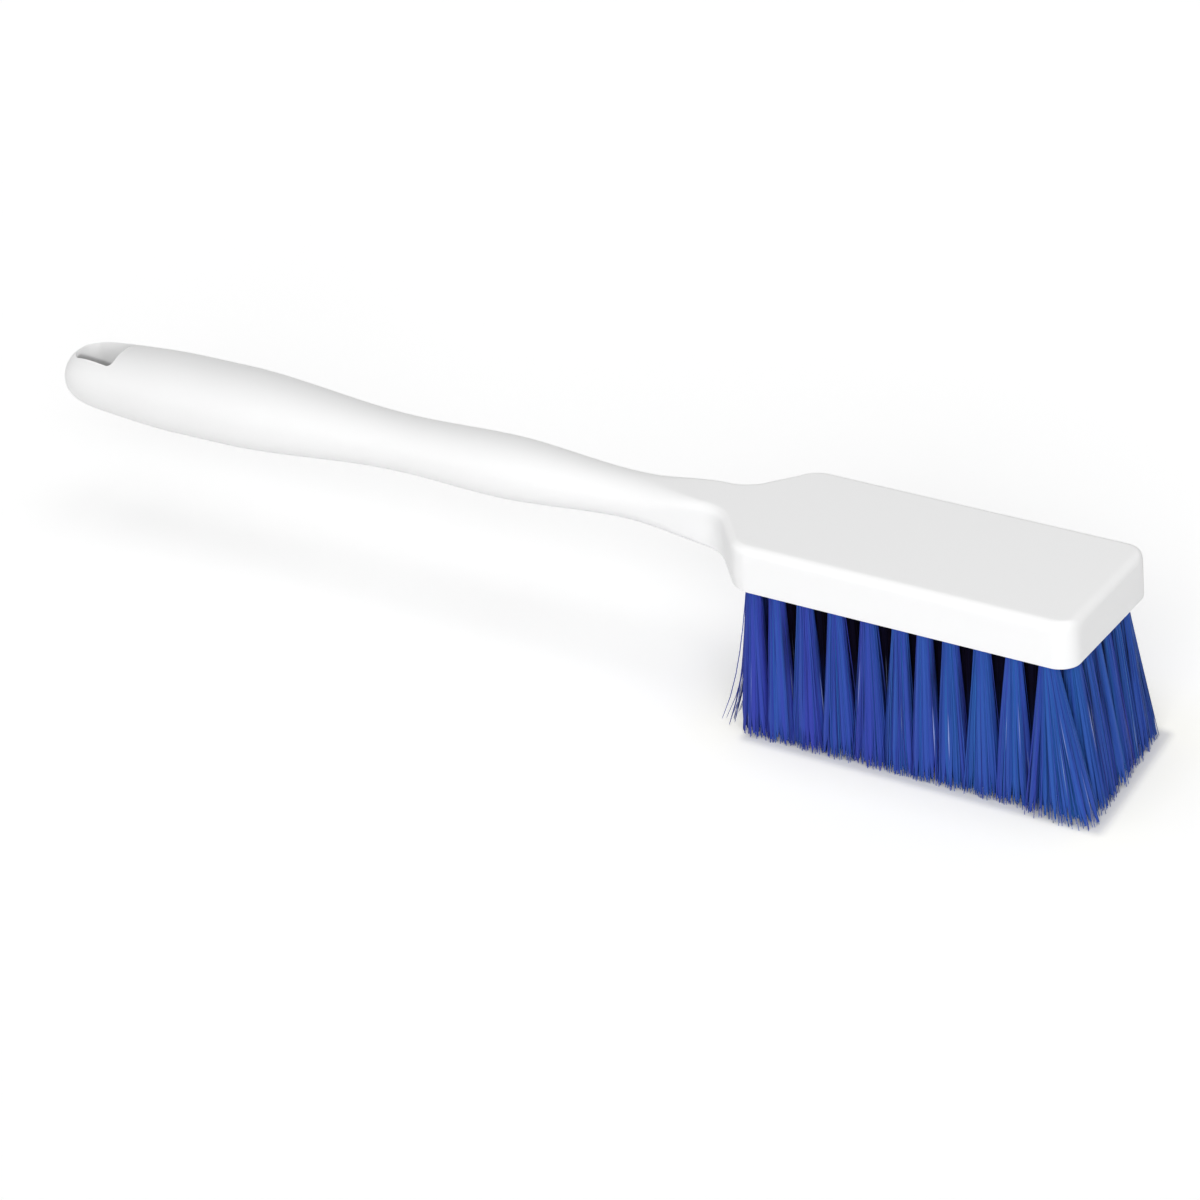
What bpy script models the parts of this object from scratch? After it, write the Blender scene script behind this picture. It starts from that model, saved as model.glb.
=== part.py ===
"""Bread brush: a one-piece moulded handle and block, set with tufts of blue bristle.

Metres, +Z up. The brush stands on its bristle tips at z = 0, with its handle towards -X,
and its origin is under the middle of its whole length and width.
Each tuft is packed into its own blind hole in the underside of the block. Two neighbouring
tufts of a column make one object, joined by a thin bridge just under the block.
"""
import math

import bmesh
import bpy
from mathutils import Matrix, Vector

# Sizes of the block
head_length = 0.1160
head_width = 0.0531
block_thickness = 0.0159
end_corner_radius = 0.0070
top_edge_radius = 0.0030
bottom_edge_radius = 0.0005

# Sizes of the handle, from its tip to the rear line of the block
handle_length = 0.2798
end_thickness = 0.0215
grip_thickness = 0.0259
waist_thickness = 0.0179
swell_thickness = 0.0197
neck_thickness = 0.0146
neck_width = 0.0176
handle_droop = 0.0036
tip_cap_length = 0.0240

# Where the handle is thickest and thinnest, as shares of its length from the tip
end_share = 0.0
grip_start_share = 0.175
grip_end_share = 0.245
waist_share = 0.500
swell_share = 0.635
neck_share = 0.810
root_share = 0.915

# Section shapes: the handle's width over its thickness, and how round its corners are
handle_flatness_share = 1.15
handle_roundness_share = 0.96
tip_squareness = 3.5

# The shoulders, where the neck opens out to the width of the block. The flat starts and ends
# say how far behind the block's rear line the round handle turns into the block's flat faces.
shoulder_angle = math.radians(48.5)
shoulder_hollow_radius = 0.0140
shoulder_corner_radius = 0.0100
flat_top_start = 0.0500
flat_top_end = 0.0220
flat_bottom_start = 0.0540
flat_bottom_end = 0.0060

# The hang hole through the end of the handle, wider and squarer at its end towards the grip
hang_hole_wall = 0.0042
hang_hole_length = 0.0192
hang_hole_tip_width = 0.0112
hang_hole_grip_width = 0.0174
hang_hole_tip_radius = 0.0035
hang_hole_grip_radius = 0.0025

# The bristle field: holes, tufts and strands
tuft_rows = 8
bristle_length = 0.0500
side_inset = 0.0042
rear_inset = 0.0043
end_inset = 0.0057
corner_setback = 0.0042
hole_wall = 0.0014
hole_floor = 0.0040
fit_clearance = 0.0003
tip_overhang = 0.0042
tip_lean = 0.0015
collar_height = 0.0010
bridge_width = 0.0016
bridge_thickness = 0.0005
strand_bite = 0.0006

# How far along a row each tuft stands, as the photograph shows them: not quite evenly
column_shares = (0.0, 0.08, 0.18, 0.287, 0.399, 0.506, 0.591, 0.676, 0.782, 0.889, 1.0)

# Places of a tuft's strands, as shares of the room that the tuft has along and across
strand_place_shares = ((0.0, 0.0), (-0.72, -0.64), (0.72, -0.64), (-0.72, 0.64), (0.72, 0.64))
strand_root_share = 0.25
strand_tip_share = 0.30
root_spread_share = 0.60

# Colours and roughness
white_plastic_colour = (0.90, 0.90, 0.90)
white_plastic_roughness = 0.45
blue_bristle_colour = (0.030, 0.076, 0.390)
blue_bristle_roughness = 0.40

# Fineness of the facets. A cap power over 1 draws the tip's rings closer to its very end.
corner_steps = 5
cap_rings = 7
cap_ring_power = 1.5
handle_rings = 27
shoulder_rings = 16
end_rings = 6
hole_sides = 6
strand_sides = 3
outline_steps = 5
smooth_angle = math.radians(35)
cut_overrun = 0.0020

# Places that follow from the sizes, measured from the middle of the head
head_end = head_length / 2
shoulder_x = -head_length / 2
tip_x = shoulder_x - handle_length
underside = bristle_length
axis_height = bristle_length + block_thickness / 2
row_pitch = (head_width - 2 * side_inset) / (tuft_rows - 1)
hole_radius = (row_pitch - hole_wall) / 2
plug_radius = hole_radius - fit_clearance
hole_depth = block_thickness - hole_floor
shoulder_rise = (head_width - neck_width) / 2
hollow_x = shoulder_x - shoulder_rise / math.tan(shoulder_angle)
hollow_reach = shoulder_hollow_radius * math.tan(shoulder_angle / 2)
corner_reach = shoulder_corner_radius * math.tan(shoulder_angle / 2)
neck_x = tip_x + neck_share * handle_length
root_x = tip_x + root_share * handle_length

handle_stations = (
    (end_share, end_thickness),
    (grip_start_share, grip_thickness),
    (grip_end_share, grip_thickness),
    (waist_share, waist_thickness),
    (swell_share, swell_thickness),
    (neck_share, neck_thickness),
    (root_share, block_thickness),
)


def ease(share):
    """From 0 to 1 with level ends."""
    share = min(max(share, 0.0), 1.0)
    return share * share * (3 - 2 * share)


def mix(first, last, share):
    return first + (last - first) * share


def thickness_at(x):
    """Thickness of the moulding, easing from one station of the handle to the next."""
    along = (x - tip_x) / handle_length
    for (start, thick), (stop, next_thick) in zip(handle_stations, handle_stations[1:]):
        if along < stop:
            return mix(thick, next_thick, ease((along - start) / (stop - start)))
    return block_thickness


def tip_cap_at(x):
    """Share of the full section that the rounded tip leaves at x."""
    into = (tip_x + tip_cap_length - x) / tip_cap_length
    if into <= 0:
        return 1.0
    return (1 - min(into, 1.0) ** tip_squareness) ** (1 / tip_squareness)


def half_width_at(x):
    """Half the width of the moulding, seen from above."""
    half_neck = neck_width / 2
    half_head = head_width / 2
    hollow_start = hollow_x - hollow_reach
    hollow_stop = hollow_x + hollow_reach * math.cos(shoulder_angle)
    corner_start = shoulder_x - corner_reach * math.cos(shoulder_angle)
    corner_stop = shoulder_x + corner_reach
    end_start = head_end - end_corner_radius
    if x < neck_x:
        return handle_flatness_share * thickness_at(x) / 2
    if x < hollow_start:
        share = ease((x - neck_x) / (hollow_start - neck_x))
        return mix(handle_flatness_share * neck_thickness / 2, half_neck, share)
    if x < hollow_stop:
        run = x - hollow_start
        return half_neck + shoulder_hollow_radius - math.sqrt(shoulder_hollow_radius ** 2 - run ** 2)
    if x < corner_start:
        return half_neck + (x - hollow_x) * math.tan(shoulder_angle)
    if x < corner_stop:
        run = corner_stop - x
        return half_head - shoulder_corner_radius + math.sqrt(shoulder_corner_radius ** 2 - run ** 2)
    if x < end_start:
        return half_head
    run = min(x - end_start, end_corner_radius)
    return half_head - end_corner_radius + math.sqrt(end_corner_radius ** 2 - run ** 2)


def end_drop(x, radius):
    """How far an edge of this radius has come down at x, near the free end."""
    run = max(x - (head_end - radius), 0.0)
    return radius - math.sqrt(max(radius ** 2 - run ** 2, 0.0))


def section_at(x):
    """One ring of points round the moulding at x: four corners, each a quarter ellipse."""
    cap = tip_cap_at(x)
    half_width = half_width_at(x) * cap
    half_thick = thickness_at(x) / 2 * cap
    droop = handle_droop * max(root_x - x, 0.0) / (root_x - tip_x)
    middle = axis_height - droop
    top = middle + half_thick - end_drop(x, top_edge_radius)
    bottom = middle - half_thick + end_drop(x, bottom_edge_radius)

    def corner(start, stop, radius):
        flatness = ease((x - (shoulder_x - start)) / (start - stop))
        slant = 1 / math.cos(shoulder_angle) if shoulder_x - shoulder_rise < x < shoulder_x else 1.0
        across = mix(handle_roundness_share * half_width, radius * slant, flatness)
        up = mix(handle_roundness_share * half_thick, radius, flatness)
        return min(across, half_width), min(up, handle_roundness_share * (top - bottom) / 2)

    top_across, top_up = corner(flat_top_start, flat_top_end, top_edge_radius)
    low_across, low_up = corner(flat_bottom_start, flat_bottom_end, bottom_edge_radius)
    points = []
    for side, level, step_from in ((1, 1, 0), (-1, 1, 1), (-1, -1, 0), (1, -1, 1)):
        across, up = (top_across, top_up) if level > 0 else (low_across, low_up)
        edge = top if level > 0 else bottom
        for step in range(corner_steps + 1):
            turn = step_from * math.pi / 2 + (1 - 2 * step_from) * step * math.pi / 2 / corner_steps
            y = side * (half_width - across + across * math.cos(turn))
            z = edge - level * (up - up * math.sin(turn))
            points.append(Vector((x, y, z)))
    return points


def ring_places():
    """Where the rings of the moulding stand: closer at the tip, the shoulders and the free end."""
    places = []
    for step in range(1, cap_rings + 1):
        turn = math.pi / 2 * (step / (cap_rings + 1)) ** cap_ring_power
        places.append(tip_x + tip_cap_length * (1 - math.cos(turn)))
    flare_start = hollow_x - hollow_reach
    handle_start = tip_x + tip_cap_length
    places += [mix(handle_start, flare_start, step / handle_rings) for step in range(handle_rings)]
    flare_stop = shoulder_x + corner_reach
    places += [mix(flare_start, flare_stop, step / shoulder_rings) for step in range(shoulder_rings + 1)]
    for step in range(end_rings + 1):
        turn = math.pi / 2 * step / end_rings
        places.append(head_end - end_corner_radius * (1 - math.sin(turn)))
    return places


def new_object(name, mesh, collection, location=(0, 0, 0)):
    thing = bpy.data.objects.new(name, mesh)
    thing.location = location
    collection.objects.link(thing)
    return thing


def mesh_from(name, form):
    """A mesh from a bmesh, with its faces turned outwards."""
    bmesh.ops.recalc_face_normals(form, faces=form.faces)
    mesh = bpy.data.meshes.new(name)
    form.to_mesh(mesh)
    form.free()
    return mesh


def loft_mesh(name, rings):
    form = bmesh.new()
    loops = [[form.verts.new(point) for point in ring] for ring in rings]
    for loop, next_loop in zip(loops, loops[1:]):
        for i in range(len(loop)):
            j = (i + 1) % len(loop)
            form.faces.new((loop[i], loop[j], next_loop[j], next_loop[i]))
    form.faces.new(loops[0])
    form.faces.new(loops[-1])
    return mesh_from(name, form)


def add_prism(form, place, radius, low, high, sides):
    """An upright prism of this many sides, from low to high, with a flat side towards +Y."""
    centre = Matrix.Translation((place.x, place.y, (low + high) / 2))
    half_side = Matrix.Rotation(math.pi / sides, 4, "Z")
    bmesh.ops.create_cone(form, cap_ends=True, segments=sides, radius1=radius, radius2=radius,
                          depth=high - low, matrix=centre @ half_side)


def hole_place(row, column):
    """Middle of a tuft's hole. The outermost rows stop short of the rounded corners."""
    setback = corner_setback if row in (0, tuft_rows - 1) else 0.0
    start = shoulder_x + rear_inset
    stop = head_end - end_inset - setback
    y = (row - (tuft_rows - 1) / 2) * row_pitch
    return Vector((mix(start, stop, column_shares[column]), y))


def tip_cell(row, column):
    """The middle and half the size of the patch of floor that a tuft's tips cover.

    Tufts hang nearly straight, with a slight lean towards the free end. The whole field spreads
    past the block's sides and free end, but not past its rear line.
    """
    half_width = head_width / 2 + tip_overhang
    middles = [hole_place(row, other).x + tip_lean for other in range(len(column_shares))]
    between = [(first + second) / 2 for first, second in zip(middles, middles[1:])]
    edges = [-head_end] + between + [head_end + tip_overhang]
    low = Vector((edges[column], mix(-half_width, half_width, row / tuft_rows)))
    high = Vector((edges[column + 1], mix(-half_width, half_width, (row + 1) / tuft_rows)))
    return (low + high) / 2, (high - low) / 2


def strand_tip_radius():
    return strand_tip_share * (head_width / 2 + tip_overhang) / tuft_rows


def add_strand(form, root, tip, root_radius, tip_radius, top):
    """One strand: a cone that leans from inside the plug to its flat-cut tip on the floor."""
    middle = (root + tip) / 2
    lean = (root - tip) / top
    place = Matrix.Translation((middle.x, middle.y, top / 2))
    shear = Matrix(((1, 0, lean.x, 0), (0, 1, lean.y, 0), (0, 0, 1, 0), (0, 0, 0, 1)))
    outward = Matrix.Rotation(math.atan2(tip.y, tip.x) - math.pi / 2, 4, "Z")
    bmesh.ops.create_cone(form, cap_ends=True, segments=strand_sides, radius1=tip_radius,
                          radius2=root_radius, depth=top, matrix=place @ shear @ outward)


def add_tuft_strands(form, row, column):
    root, (tip, room) = hole_place(row, column), tip_cell(row, column)
    top = underside - collar_height + strand_bite
    root_radius = strand_root_share * plug_radius
    for along, across in strand_place_shares:
        root_offset = Vector((along, across)) * plug_radius * root_spread_share
        tip_offset = Vector((along * room.x, across * room.y))
        add_strand(form, root + root_offset, tip + tip_offset, root_radius, strand_tip_radius(), top)


def united_mesh(name, meshes, collection):
    """One closed mesh from closed meshes that run into each other."""
    things = [new_object(name, mesh, collection) for mesh in meshes]
    for other in things[1:]:
        union = things[0].modifiers.new("union", "BOOLEAN")
        union.operation = "UNION"
        union.solver = "EXACT"
        union.object = other
    evaluated = things[0].evaluated_get(bpy.context.evaluated_depsgraph_get())
    mesh = bpy.data.meshes.new_from_object(evaluated)
    mesh.name = name
    for thing in things:
        bpy.data.objects.remove(thing)
    return mesh


def tuft_pair_mesh(name, rows, column, collection):
    """Two neighbouring tufts of a column, with the bridge that joins their roots."""
    near, far = (hole_place(row, column) for row in rows)
    reach = far - near
    middle = (near + far) / 2
    bridge_top = underside - fit_clearance
    bridge = bmesh.new()
    bmesh.ops.create_cube(bridge, size=bridge_thickness)
    place = Matrix.Translation((middle.x, middle.y, bridge_top - bridge_thickness / 2))
    turned = Matrix.Rotation(math.atan2(reach.y, reach.x), 4, "Z")
    stretch = (reach.length / bridge_thickness, bridge_width / bridge_thickness, 1, 1)
    bridge.transform(place @ turned @ Matrix.Diagonal(stretch))
    plugs, strands = bmesh.new(), bmesh.new()
    for row in rows:
        add_prism(plugs, hole_place(row, column), plug_radius, underside - collar_height,
                  underside + hole_depth - fit_clearance, hole_sides)
        add_tuft_strands(strands, row, column)
    meshes = [mesh_from(name, form) for form in (bridge, plugs, strands)]
    return united_mesh(name, meshes, collection)


def hang_hole_mesh(name):
    """A cutter of the hang hole's outline, which narrows from the grip towards the tip."""
    middle = tip_x + hang_hole_wall + hang_hole_length / 2
    height = 2 * (grip_thickness + cut_overrun)
    form = bmesh.new()
    bmesh.ops.create_cube(form, size=1)
    for vert in form.verts:
        width = hang_hole_tip_width if vert.co.x < 0 else hang_hole_grip_width
        vert.co = vert.co * Vector((hang_hole_length, width, height)) + Vector((middle, 0, axis_height))
    for side, radius in ((-1, hang_hole_tip_radius), (1, hang_hole_grip_radius)):
        upright = []
        for edge in form.edges:
            above, below = (vert.co for vert in edge.verts)
            crosses = (above.z - axis_height) * (below.z - axis_height) < 0
            if crosses and (above.x - middle) * side > 0:
                upright.append(edge)
        bmesh.ops.bevel(form, geom=upright, offset=radius, segments=outline_steps, profile=0.5,
                        affect="EDGES")
    return mesh_from(name, form)


def tuft_holes_mesh(name):
    form = bmesh.new()
    for row in range(tuft_rows):
        for column in range(len(column_shares)):
            add_prism(form, hole_place(row, column), hole_radius, underside - cut_overrun,
                      underside + hole_depth, hole_sides)
    return mesh_from(name, form)


def add_material(name, colour, roughness):
    material = bpy.data.materials.new(name)
    material.use_nodes = True
    surface = material.node_tree.nodes["Principled BSDF"]
    surface.inputs["Base Color"].default_value = (*colour, 1)
    surface.inputs["Roughness"].default_value = roughness
    surface.inputs["Metallic"].default_value = 0
    material.diffuse_color = (*colour, 1)
    return material


def cut(thing, cutter):
    difference = thing.modifiers.new("cut " + cutter.name, "BOOLEAN")
    difference.operation = "DIFFERENCE"
    difference.solver = "EXACT"
    difference.object = cutter
    cutter.hide_render = True
    cutter.display_type = "WIRE"


def add_handle_and_block(place, parts, cutters):
    """The one-piece moulding, with its tuft holes and its hang hole."""
    mesh = loft_mesh("handle_and_block", [section_at(x) for x in ring_places()])
    mesh.shade_smooth()
    mesh.set_sharp_from_angle(angle=smooth_angle)
    moulding = new_object("handle_and_block", mesh, parts, place)
    for name, cutter_mesh in (("tuft_holes", tuft_holes_mesh("tuft_holes")),
                              ("hang_hole", hang_hole_mesh("hang_hole"))):
        cut(moulding, new_object(name, cutter_mesh, cutters, place))
    plastic = add_material("white_plastic", white_plastic_colour, white_plastic_roughness)
    moulding.data.materials.append(plastic)
    return moulding


def add_tuft_pairs(place, parts):
    """Every pair of tufts: letters A, B and on across the head, numbers from the handle on."""
    bristle = add_material("blue_bristle", blue_bristle_colour, blue_bristle_roughness)
    pairs = []
    for pair in range(tuft_rows // 2):
        for column in range(len(column_shares)):
            name = f"tuft_pair_{chr(ord('A') + pair)}{column + 1:02d}"
            mesh = tuft_pair_mesh(name, (2 * pair, 2 * pair + 1), column, parts)
            mesh.materials.clear()
            mesh.materials.append(bristle)
            pairs.append(new_object(name, mesh, parts, place))
    return pairs


def tip_reach():
    """How far the outermost strand reaches from the middle of the head, towards +X."""
    outer = max(along for along, across in strand_place_shares)
    cells = [tip_cell(row, len(column_shares) - 1) for row in range(tuft_rows)]
    return max(middle.x + outer * room.x for middle, room in cells) + strand_tip_radius()


def main():
    for thing in list(bpy.data.objects):
        bpy.data.objects.remove(thing)
    parts = bpy.data.collections.new("bread_brush")
    cutters = bpy.data.collections.new("cutters")
    bpy.context.scene.collection.children.link(parts)
    bpy.context.scene.collection.children.link(cutters)
    middle = (tip_x + tip_reach()) / 2
    origin = new_object("bread_brush_origin", None, parts)
    place = (-middle, 0, 0)
    things = [add_handle_and_block(place, parts, cutters)] + add_tuft_pairs(place, parts)
    for thing in things:
        thing.parent = origin


main()
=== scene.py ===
"""Looks of the bread brush: the fine moulding, its tufts of filament, the light and the camera.

Metres, +Z up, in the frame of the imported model: the brush stands on its bristle tips at z = 0,
with its handle towards -X. Places along the brush are measured from the middle of its head.
"""
import math

import bmesh
import bpy
import numpy as np
from mathutils import Matrix, Vector


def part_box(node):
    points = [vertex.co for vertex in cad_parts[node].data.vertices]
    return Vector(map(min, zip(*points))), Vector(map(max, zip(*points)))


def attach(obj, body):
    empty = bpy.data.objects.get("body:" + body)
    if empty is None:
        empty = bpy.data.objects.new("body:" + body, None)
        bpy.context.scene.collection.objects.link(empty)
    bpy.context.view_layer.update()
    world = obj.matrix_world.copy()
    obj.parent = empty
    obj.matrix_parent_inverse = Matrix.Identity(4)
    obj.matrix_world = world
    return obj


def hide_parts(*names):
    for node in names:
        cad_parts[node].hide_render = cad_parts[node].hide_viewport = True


# Sizes of the block
head_length = 0.1160
head_width = 0.0531
block_thickness = 0.0159
end_corner_radius = 0.0070
top_edge_radius = 0.0030
bottom_edge_radius = 0.0005

# Sizes of the handle, from its tip to the rear line of the block
handle_length = 0.2798
end_thickness = 0.0215
grip_thickness = 0.0259
waist_thickness = 0.0179
swell_thickness = 0.0197
neck_thickness = 0.0146
neck_width = 0.0176
handle_droop = 0.0036
tip_cap_length = 0.0240

# Where the handle is thickest and thinnest, as shares of its length from the tip
handle_stations = (
    (0.000, end_thickness),
    (0.175, grip_thickness),
    (0.245, grip_thickness),
    (0.500, waist_thickness),
    (0.635, swell_thickness),
    (0.810, neck_thickness),
    (0.915, block_thickness),
)
neck_share = 0.810
root_share = 0.915

# Section shapes: the handle's width over its thickness, how round its corners are, and how
# blunt its tip is
handle_flatness = 1.15
handle_roundness = 0.96
tip_squareness = 3.5

# The shoulders, where the neck opens out to the width of the block. The flat starts and ends
# say how far behind the block's rear line the round handle turns into the block's flat faces.
shoulder_angle = math.radians(48.5)
shoulder_hollow_radius = 0.0140
shoulder_corner_radius = 0.0100
flat_top_start = 0.0500
flat_top_end = 0.0220
flat_bottom_start = 0.0540
flat_bottom_end = 0.0060

# The hang hole through the end of the handle, wider and squarer at its end towards the grip
hang_hole_wall = 0.0042
hang_hole_length = 0.0192
hang_hole_tip_width = 0.0112
hang_hole_grip_width = 0.0174
hang_hole_tip_radius = 0.0035
hang_hole_grip_radius = 0.0025

# The painted shade on the hang hole's walls: what the near rim hides from this direction, how
# far that is raised, how softly it ends above and how steeply below, the lit rim over it, and
# how much paler, as painted light, the walls are painted elsewhere
hole_shade_azimuth = math.radians(30.0)
hole_shade_elevation = math.radians(32.5)
hole_shade_lift = 0.0030
hole_fade = 0.0016
hole_low_steepness = 3
hole_lit_rim = 0.0008
hole_painted_light = 0.20
wall_tolerance = 0.00002

# The bristle field: its holes, how far past the block its tips reach on each side, how far they
# lean to the free end, and how far the front corner flares
tuft_rows = 8
bristle_length = 0.0500
side_inset = 0.0042
rear_inset = 0.0043
end_inset = 0.0057
corner_setback = 0.0042
hole_wall = 0.0014
hole_floor = 0.0040
front_overhang = 0.0047
back_overhang = -0.0022
end_overhang_front = 0.0092
end_overhang_back = 0.0040
tip_lean = 0.0015
corner_flare = 0.0030

# How far along a row each tuft stands, as the photograph shows them: not quite evenly
column_shares = (0.0, 0.08, 0.18, 0.287, 0.399, 0.506, 0.591, 0.676, 0.782, 0.889, 1.0)

# A tuft is packed into its hole and spread over its patch of floor. Powers under 0.5 pack more
# strands towards its rim.
tuft_overlap = 1.18
root_depth = 0.0030
root_packing = 0.94
place_scatter = 0.03
squaring = 0.6
middle_bend = 0.10
bend_scatter = 0.05
wander = 0.00020

# The tapering locks at its heart
locks = 30
lock_root_radius = 0.00042
lock_radius = 0.00080
lock_full_from = 0.6
lock_point = 0.7
lock_point_from = 0.88
lock_girths = (0.85, 1.15)
lock_sides = 5
lock_steps = 7
lock_power = 0.5
lock_reach = 0.80
lock_jitter = 0.0003
lock_end = 0.0011
tip_unevenness = 0.0011
lock_roundness = 0.75

# The fine filaments that gather round the locks' tips and reach a little lower
filaments = 130
filament_radius = 0.00017
filament_point = 0.6
filament_sides = 3
filament_steps = 6
filament_power = 0.40
filament_jitter = 0.0006
filament_excess = (0.0002, 0.0022)
filament_roundness = 0.60
gathering = 0.28

# Filaments that bow out at the handle's end of the field, more of them in the front rows
stray_zone = -0.6
strays = 2
stray_bow = 0.0032
stray_bow_shares = (0.4, 1.0)
stray_lift = (0.0005, 0.0035)
splayed_rows = 2
splayed_strays = 9
splayed_bow = 0.0072

# Tones of the strands, from 0 to 1 on the filament's colour ramp
tone_middle = 0.80
tone_rim_drop = 0.50
streak_tone = 0.16
streak_turn = 2.6
tone_at_rear = -0.20
tone_at_end = 0.16
tone_at_root = 0.08
tone_at_tip = -0.14
lock_tone_scatter = 0.06
filament_tone_scatter = 0.16

# Filaments with a pale painted glint on one ring, or with painted shade as if sunk among others
glint_filaments = 10
glint_rings = (3, 6)
glint_levels = (0.25, 0.65)
sunken_share = 0.14
sunken_shade = 0.45
sunken_from = 0.25
sunken_full_from = 0.65

# The seed of all random draws
seed = 20

# How deep in the bristle field a strand is painted dark, as shade, and how far down its length
lit_depth = 0.0038
dark_depth = 0.0076
dark_until = 0.42
lit_from = 0.80
corner_cut = 0.0057

# The painted shade in the gaps between neighbouring tufts: how near the border of its tuft's
# patch a strand lies in one, weighed along and across the field, and how far down its length
gap_weights = (1.0, 1.15)
gap_width = 0.0009
gap_fade_width = 0.0025
gap_until = 0.20
gap_closed = 0.68
gap_darkness = 0.985
far_from_gap = 1.0

# Strands are shaded partly as the round body of their tuft. That faces partly as the field's
# flat sides do, at its end also to the front, and everywhere a little upwards.
field_flatness = 0.45
end_turn = 0.75
body_lift = 0.06

# The least length that anything is divided by
tiny = 1e-9

# Fineness of the moulding
corner_steps = 14
cap_rings = 30
cap_ring_power = 1.5
handle_rings = 130
shoulder_rings = 70
block_rings = 12
end_rings = 20
hole_sides = 24
outline_steps = 14
hole_levels = 60
hole_slices = 30
hole_strips = 24
cut_overrun = 0.0020
round_profile = 0.5
sharp_angle = math.radians(40)
normal_weight = 100

# White plastic
plastic_tone = (0.90, 0.90, 0.90, 1)
# The painted shade on the hang hole's walls
painted_hole_shade_tone = (0.46, 0.46, 0.46, 1)
plastic_specular = 0.40
plastic_roughness = (0.42, 0.50)
cloud_scale = 60
grain_scale = 1800
noise_detail = 2
grain_strength = 0.06
grain_depth = 0.0002

# Blue filament
filament_tones = ((0.036, 0.052, 0.372, 1), (0.022, 0.117, 0.408, 1))
# Painted shade deep in the bristle field, and painted glints on single filaments
painted_shade_tint = (0.003, 0.001, 0.007, 1)
painted_glint_tint = (0.42, 0.52, 0.85, 1)
filament_specular = 0.12
filament_roughness = (0.40, 1.0)

# The floor, and the glow that brings it up to white where the camera sees it: more of it away
# from the front lamp, less under the rim of the bristles as a painted contact shadow, and a
# painted warm tint near them that cancels the blue light they bounce onto the floor
floor_half_size = 6
floor_tone = (0.85, 0.85, 0.85, 1)
floor_roughness = 0.9
glow_middle = (0.40, -0.50, 0)
glow_near = 0.1423
glow_rise = 0.2945
contact_reach = 0.0046
contact_rear_inset = 0.0040
contact_share = 0.05
warmth_reach = 0.040
warmth_tint = (1.07, 1.05, 0.89, 1)
white = (1, 1, 1, 1)
sky_strength = 0.35

# The soft lamps: direction from the target, distance, side, power and target
lamps = {
    "front_lamp": ((0.49, -0.79, 0.40), 2.0, 1.6, 26.6, (0, 0, 0.05)),
    "fill_lamp": ((-0.75, -0.55, 0.30), 2.0, 1.6, 4.4, (0, 0, 0.05)),
    "top_lamp": ((0, 0, 1), 0.85, 0.6, 2.05, (0.18, 0, 0.05)),
}

# Places that follow from the sizes, measured from the middle of the head
head_end = head_length / 2
shoulder_x = -head_length / 2
tip_x = shoulder_x - handle_length
underside = bristle_length
axis_height = bristle_length + block_thickness / 2
row_pitch = (head_width - 2 * side_inset) / (tuft_rows - 1)
hole_radius = (row_pitch - hole_wall) / 2
hole_depth = block_thickness - hole_floor
shoulder_rise = (head_width - neck_width) / 2
hollow_x = shoulder_x - shoulder_rise / math.tan(shoulder_angle)
hollow_reach = shoulder_hollow_radius * math.tan(shoulder_angle / 2)
corner_reach = shoulder_corner_radius * math.tan(shoulder_angle / 2)
neck_x = tip_x + neck_share * handle_length
root_x = tip_x + root_share * handle_length
hang_hole_start = tip_x + hang_hole_wall
hang_hole_middle = hang_hole_start + hang_hole_length / 2
tips_front = -head_width / 2 - front_overhang
tips_back = head_width / 2 + back_overhang

# The camera: its direction from the head, its distance, and where in the 1200 x 1200 picture
# the point on the floor under the middle of the head lies
view_azimuth = math.radians(30.322)
view_elevation = math.radians(32.682)
view_roll = math.radians(-2.937)
view_distance = 1.40667
picture_size = 1200
focal_pixels = 4500
head_pixel = (949.25, 727.57)
sensor_width = 36


def ease(share):
    """From 0 to 1 with level ends."""
    share = min(max(share, 0.0), 1.0)
    return share * share * (3 - 2 * share)


def mix(first, last, share):
    return first + (last - first) * share


def thickness_at(x):
    """Thickness of the moulding, easing from one station of the handle to the next."""
    along = (x - tip_x) / handle_length
    for (start, thick), (stop, next_thick) in zip(handle_stations, handle_stations[1:]):
        if along < stop:
            return mix(thick, next_thick, ease((along - start) / (stop - start)))
    return block_thickness


def tip_cap_at(x):
    """Share of the full section that the rounded tip leaves at x."""
    into = (tip_x + tip_cap_length - x) / tip_cap_length
    if into <= 0:
        return 1.0
    return (1 - min(into, 1.0) ** tip_squareness) ** (1 / tip_squareness)


def circle_height(radius, run):
    """Height of a circle of this radius over its middle, this far from the middle."""
    return math.sqrt(max(radius ** 2 - run ** 2, 0.0))


def half_width_at(x):
    """Half the width of the moulding, seen from above."""
    half_neck = neck_width / 2
    half_head = head_width / 2
    hollow_start = hollow_x - hollow_reach
    hollow_stop = hollow_x + hollow_reach * math.cos(shoulder_angle)
    corner_start = shoulder_x - corner_reach * math.cos(shoulder_angle)
    corner_stop = shoulder_x + corner_reach
    end_start = head_end - end_corner_radius
    if x < neck_x:
        return handle_flatness * thickness_at(x) / 2
    if x < hollow_start:
        share = ease((x - neck_x) / (hollow_start - neck_x))
        return mix(handle_flatness * neck_thickness / 2, half_neck, share)
    if x < hollow_stop:
        run = x - hollow_start
        return half_neck + shoulder_hollow_radius - circle_height(shoulder_hollow_radius, run)
    if x < corner_start:
        return half_neck + (x - hollow_x) * math.tan(shoulder_angle)
    if x < corner_stop:
        run = corner_stop - x
        return half_head - shoulder_corner_radius + circle_height(shoulder_corner_radius, run)
    if x < end_start:
        return half_head
    run = min(x - end_start, end_corner_radius)
    return half_head - end_corner_radius + circle_height(end_corner_radius, run)


def end_drop(x, radius):
    """How far an edge of this radius has come down at x, near the free end."""
    run = max(x - (head_end - radius), 0.0)
    return radius - circle_height(radius, run)


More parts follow.
